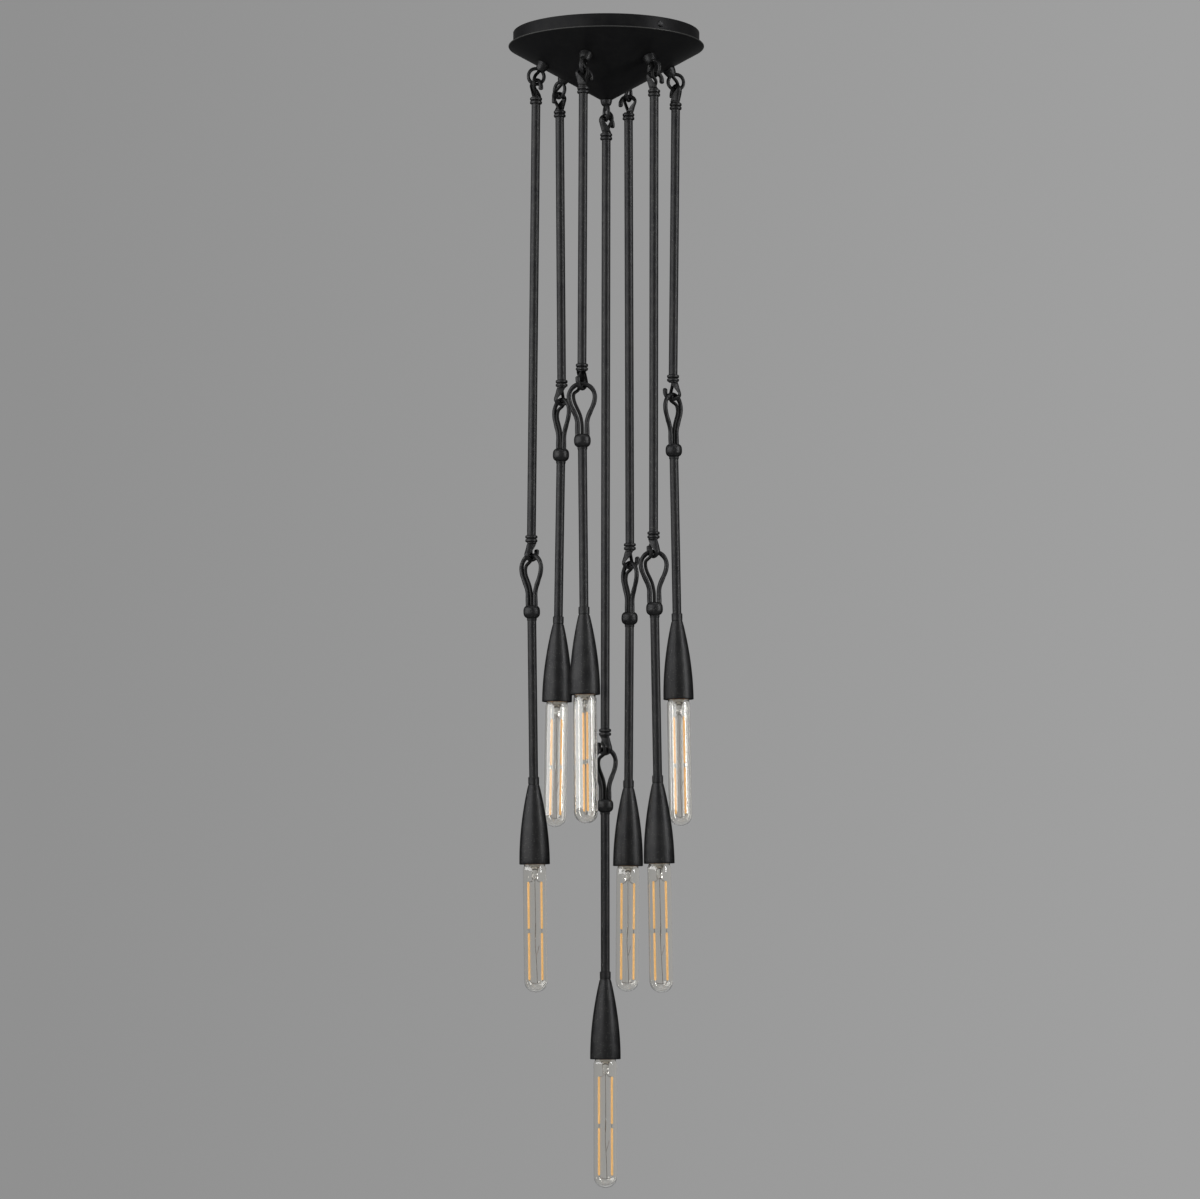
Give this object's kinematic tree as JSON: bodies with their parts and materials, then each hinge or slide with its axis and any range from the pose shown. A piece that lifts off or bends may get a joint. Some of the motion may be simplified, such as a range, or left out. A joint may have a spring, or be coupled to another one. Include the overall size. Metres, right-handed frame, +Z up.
{
  "type": "pendant light",
  "caption": "Cluster pendant light: a shallow cone canopy carries hooked iron rods at stepped heights, each ending in a bullet-shaped socket cup with a clear tubular lamp.",
  "frame": {"origin": "on the ceiling, at the middle of the mounting bar's upper face, on the canopy's axis", "axes": "+Z up towards the ceiling, -Y towards the front as pictured, +X to the right"},
  "size_m": [0.25, 0.25, 1.4645],
  "materials": {
    "spun_iron": "smooth matt black powder coat",
    "forged_iron": "speckled matt black powder coat",
    "zinc_steel": "zinc plated",
    "screw_steel": "blackened",
    "porcelain": "glazed porcelain",
    "lamp_glass": "clear",
    "cord_jacket": "matt black"
  },
  "bodies": {
    "canopy": {"canopy_shell": "spun_iron", "mounting_bar": "zinc_steel", "canopy_screw_1": "screw_steel", "canopy_screw_2": "screw_steel", "canopy_eye_1": "forged_iron", "canopy_eye_2": "forged_iron", "canopy_eye_3": "forged_iron", "canopy_eye_4": "forged_iron", "canopy_eye_5": "forged_iron", "canopy_eye_6": "forged_iron", "canopy_eye_7": "forged_iron"},
    "upper_1": {"upper_rod_1": "forged_iron", "supply_cord_1": "cord_jacket"},
    "lower_1": {"link_loop_1": "forged_iron", "lower_tube_1": "forged_iron", "socket_cup_1": "forged_iron", "lampholder_1": "porcelain"},
    "lamp_1": {"bulb_1": "lamp_glass"},
    "upper_2": {"upper_rod_2": "forged_iron", "supply_cord_2": "cord_jacket"},
    "lower_2": {"link_loop_2": "forged_iron", "lower_tube_2": "forged_iron", "socket_cup_2": "forged_iron", "lampholder_2": "porcelain"},
    "lamp_2": {"bulb_2": "lamp_glass"},
    "upper_3": {"upper_rod_3": "forged_iron", "supply_cord_3": "cord_jacket"},
    "lower_3": {"link_loop_3": "forged_iron", "lower_tube_3": "forged_iron", "socket_cup_3": "forged_iron", "lampholder_3": "porcelain"},
    "lamp_3": {"bulb_3": "lamp_glass"},
    "upper_4": {"upper_rod_4": "forged_iron", "supply_cord_4": "cord_jacket"},
    "lower_4": {"link_loop_4": "forged_iron", "lower_tube_4": "forged_iron", "socket_cup_4": "forged_iron", "lampholder_4": "porcelain"},
    "lamp_4": {"bulb_4": "lamp_glass"},
    "upper_5": {"upper_rod_5": "forged_iron", "supply_cord_5": "cord_jacket"},
    "lower_5": {"link_loop_5": "forged_iron", "lower_tube_5": "forged_iron", "socket_cup_5": "forged_iron", "lampholder_5": "porcelain"},
    "lamp_5": {"bulb_5": "lamp_glass"},
    "upper_6": {"upper_rod_6": "forged_iron", "supply_cord_6": "cord_jacket"},
    "lower_6": {"link_loop_6": "forged_iron", "lower_tube_6": "forged_iron", "socket_cup_6": "forged_iron", "lampholder_6": "porcelain"},
    "lamp_6": {"bulb_6": "lamp_glass"},
    "upper_7": {"upper_rod_7": "forged_iron", "supply_cord_7": "cord_jacket"},
    "lower_7": {"link_loop_7": "forged_iron", "lower_tube_7": "forged_iron", "socket_cup_7": "forged_iron", "lampholder_7": "porcelain"},
    "lamp_7": {"bulb_7": "lamp_glass"}
  },
  "joints": [
    {"name": "rod_swing_1", "type": "hinge", "parent": "canopy", "child": "upper_1", "pos_m": [-0.08917, -0.01814, -0.06463], "axis": [-0.6018, 0.7986, 0], "range_deg": [-2, 25], "deforming": ["supply_cord_1"]},
    {"name": "drop_swing_1", "type": "hinge", "parent": "upper_1", "child": "lower_1", "pos_m": [-0.09484, -0.01814, -0.67771], "axis": [0.656, 0.7547, -0.0061], "range_deg": [-2, 20]},
    {"name": "lamp_turn_1", "type": "hinge", "parent": "lower_1", "child": "lamp_1", "pos_m": [-0.08997, -0.01814, -1.06043], "axis": [-0.0127, 0, 0.9999], "range_deg": [0, 360]},
    {"name": "rod_swing_2", "type": "hinge", "parent": "canopy", "child": "upper_2", "pos_m": [-0.0603, 0.06815, -0.06463], "axis": [0.7071, 0.7071, 0], "range_deg": [-2, 25], "deforming": ["supply_cord_2"]},
    {"name": "drop_swing_2", "type": "hinge", "parent": "upper_2", "child": "lower_2", "pos_m": [-0.05712, 0.06815, -0.46872], "axis": [0.9063, 0.4226, 0.0071], "range_deg": [-2, 20]},
    {"name": "lamp_turn_2", "type": "hinge", "parent": "lower_2", "child": "lamp_2", "pos_m": [-0.06294, 0.06815, -0.85143], "axis": [0.0152, 0, 0.9999], "range_deg": [0, 360]},
    {"name": "rod_swing_3", "type": "hinge", "parent": "canopy", "child": "upper_3", "pos_m": [-0.02887, -0.0863, -0.06463], "axis": [-0.9659, -0.2588, 0], "range_deg": [-2, 25], "deforming": ["supply_cord_3"]},
    {"name": "drop_swing_3", "type": "hinge", "parent": "upper_3", "child": "lower_3", "pos_m": [-0.03071, -0.0863, -0.46873], "axis": [-0.5, -0.866, 0.0023], "range_deg": [-4, 20]},
    {"name": "lamp_turn_3", "type": "hinge", "parent": "lower_3", "child": "lamp_3", "pos_m": [-0.02683, -0.0863, -0.85146], "axis": [-0.0101, 0, 0.9999], "range_deg": [0, 360]},
    {"name": "rod_swing_4", "type": "hinge", "parent": "canopy", "child": "upper_4", "pos_m": [0, 0, -0.10745], "axis": [0.788, 0.6157, 0], "range_deg": [-2, 4], "deforming": ["supply_cord_4"]},
    {"name": "drop_swing_4", "type": "hinge", "parent": "upper_4", "child": "lower_4", "pos_m": [-0.0017, 0, -0.92115], "axis": [-0.766, 0.6428, 0.0016], "range_deg": [-2, 15]},
    {"name": "lamp_turn_4", "type": "hinge", "parent": "lower_4", "child": "lamp_4", "pos_m": [-0.00124, 0, -1.3039], "axis": [-0.0012, 0, 1], "range_deg": [0, 360]},
    {"name": "rod_swing_5", "type": "hinge", "parent": "canopy", "child": "upper_5", "pos_m": [0.02887, 0.0863, -0.06463], "axis": [0.9962, 0.0872, 0], "range_deg": [-2, 25], "deforming": ["supply_cord_5"]},
    {"name": "drop_swing_5", "type": "hinge", "parent": "upper_5", "child": "lower_5", "pos_m": [0.03048, 0.0863, -0.67773], "axis": [0.9397, 0.342, 0.0025], "range_deg": [-2, 20]},
    {"name": "lamp_turn_5", "type": "hinge", "parent": "lower_5", "child": "lamp_5", "pos_m": [0.02781, 0.0863, -1.06047], "axis": [0.007, 0, 1], "range_deg": [0, 360]},
    {"name": "rod_swing_6", "type": "hinge", "parent": "canopy", "child": "upper_6", "pos_m": [0.0603, -0.06815, -0.06463], "axis": [-0.9613, -0.2756, 0], "range_deg": [-2, 25], "deforming": ["supply_cord_6"]},
    {"name": "drop_swing_6", "type": "hinge", "parent": "upper_6", "child": "lower_6", "pos_m": [0.05891, -0.06815, -0.67773], "axis": [0.5736, -0.8192, -0.0013], "range_deg": [-5, 20]},
    {"name": "lamp_turn_6", "type": "hinge", "parent": "lower_6", "child": "lamp_6", "pos_m": [0.06559, -0.06815, -1.06042], "axis": [-0.0175, 0, 0.9998], "range_deg": [0, 360]},
    {"name": "rod_swing_7", "type": "hinge", "parent": "canopy", "child": "upper_7", "pos_m": [0.08917, 0.01814, -0.06463], "axis": [0.4848, -0.8746, 0], "range_deg": [-2, 25], "deforming": ["supply_cord_7"]},
    {"name": "drop_swing_7", "type": "hinge", "parent": "upper_7", "child": "lower_7", "pos_m": [0.0848, 0.01814, -0.46871], "axis": [0.9902, -0.1392, -0.0107], "range_deg": [-4, 20]},
    {"name": "lamp_turn_7", "type": "hinge", "parent": "lower_7", "child": "lamp_7", "pos_m": [0.09148, 0.01814, -0.8514], "axis": [-0.0175, 0, 0.9998], "range_deg": [0, 360]}
  ]
}
